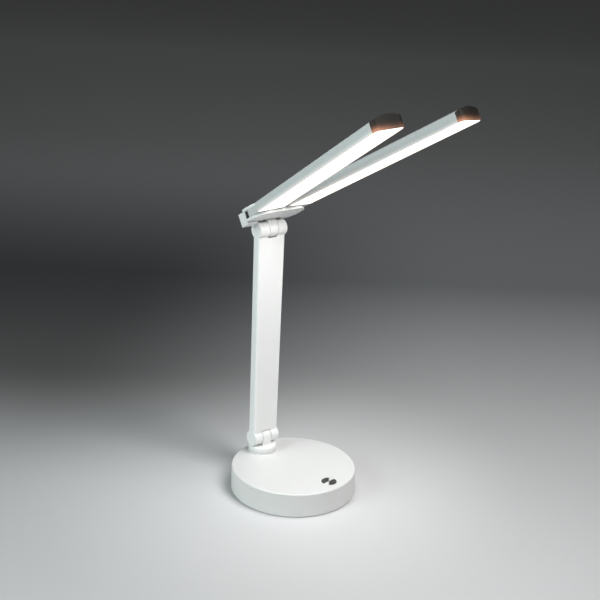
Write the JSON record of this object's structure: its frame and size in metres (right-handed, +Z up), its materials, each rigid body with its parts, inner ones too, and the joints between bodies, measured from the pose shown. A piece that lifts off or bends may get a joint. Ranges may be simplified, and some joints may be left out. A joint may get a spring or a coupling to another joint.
{
  "type": "folding led desk lamp",
  "caption": "Desk lamp: round weighted base with push button and swivel turret, slim hinged arm, and a tilting head bracket from which two flat light bars swing apart.",
  "frame": {"origin": "centre of the round base on the table surface, at the bottom of the foot ring", "axes": "+Z up; the turret stands on +Y and the button on -Y; the arm and head are shown turned 7 degrees on the turret, so the hinge pins lie 7 degrees off +X"},
  "size_m": [0.1471, 0.2246, 0.4047],
  "materials": {
    "base_plastic": "satin white moulded plastic",
    "cover_plastic": "fine-grained light grey moulded plastic",
    "foot_rubber": "dull dark rubber",
    "plated_steel": "zinc-plated stamped steel",
    "cell_foil": "satin foil pouch",
    "circuit_board": "green solder mask",
    "screw_steel": "nickel-plated",
    "black_plastic": "moulded nylon",
    "inlet_steel": "drawn steel shell",
    "spun_aluminium": "circular spun finish",
    "grey_plastic": "plain moulded",
    "white_plastic": "satin white moulded plastic",
    "slide_nylon": "natural nylon",
    "pin_steel": "ground steel",
    "bar_plastic": "satin white moulded plastic",
    "opal_diffuser": "opal, lit from behind",
    "led_board": "white-coated aluminium core board",
    "cap_plastic": "dark gloss plastic"
  },
  "bodies": {
    "base": {"base_shell": "base_plastic", "base_cover": "cover_plastic", "foot_ring": "foot_rubber", "ballast_disc": "plated_steel", "battery_cell": "cell_foil", "control_board": "circuit_board", "board_screws": "screw_steel", "push_switch": "black_plastic", "cover_screws": "screw_steel", "inlet_board": "circuit_board", "inlet_socket": "inlet_steel"},
    "button": {"button_disc": "spun_aluminium", "button_plunger": "grey_plastic", "switch_stem": "black_plastic"},
    "turret": {"turret": "white_plastic", "spigot_nut": "screw_steel", "slide_washer": "slide_nylon"},
    "arm": {"arm_frame": "white_plastic", "arm_back": "white_plastic", "arm_screws": "screw_steel", "lower_pin": "pin_steel", "upper_pin": "pin_steel", "hinge_caps": "white_plastic", "hinge_washers": "pin_steel"},
    "head": {"head_bracket": "white_plastic", "bracket_plate": "white_plastic", "plate_screw": "screw_steel", "swing_pin_left": "pin_steel", "swing_pin_right": "pin_steel"},
    "bar_left": {"bar_left": "bar_plastic", "diffuser_left": "opal_diffuser", "led_board_left": "led_board", "end_cap_left": "cap_plastic"},
    "bar_right": {"bar_right": "bar_plastic", "diffuser_right": "opal_diffuser", "led_board_right": "led_board", "end_cap_right": "cap_plastic"}
  },
  "joints": [
    {"name": "button_press", "type": "slide", "parent": "base", "child": "button", "axis": [0, 0, -1], "range_m": [0, 0.0008], "stiffness_N_per_m": 400, "springref_m": -0.0005},
    {"name": "base_swivel", "type": "hinge", "parent": "base", "child": "turret", "pos_m": [0, 0.045, 0.029], "axis": [0, 0, 1], "range_deg": [-73, 87]},
    {"name": "arm_fold", "type": "hinge", "parent": "turret", "child": "arm", "pos_m": [0, 0.045, 0.0415], "axis": [0.9925, -0.1219, 0], "range_deg": [-15, 80]},
    {"name": "head_tilt", "type": "hinge", "parent": "arm", "child": "head", "pos_m": [0, 0.045, 0.2615], "axis": [-0.9925, 0.1219, 0], "range_deg": [-92, 52]},
    {"name": "bar_left_swing", "type": "hinge", "parent": "head", "child": "bar_left", "pos_m": [-0.01621, 0.03773, 0.27979], "axis": [-0.0619, -0.5038, -0.8616], "range_deg": [-8, 34]},
    {"name": "bar_right_swing", "type": "hinge", "parent": "head", "child": "bar_right", "pos_m": [0.01397, 0.03403, 0.27979], "axis": [0.0619, 0.5038, 0.8616], "range_deg": [-8, 34]}
  ]
}
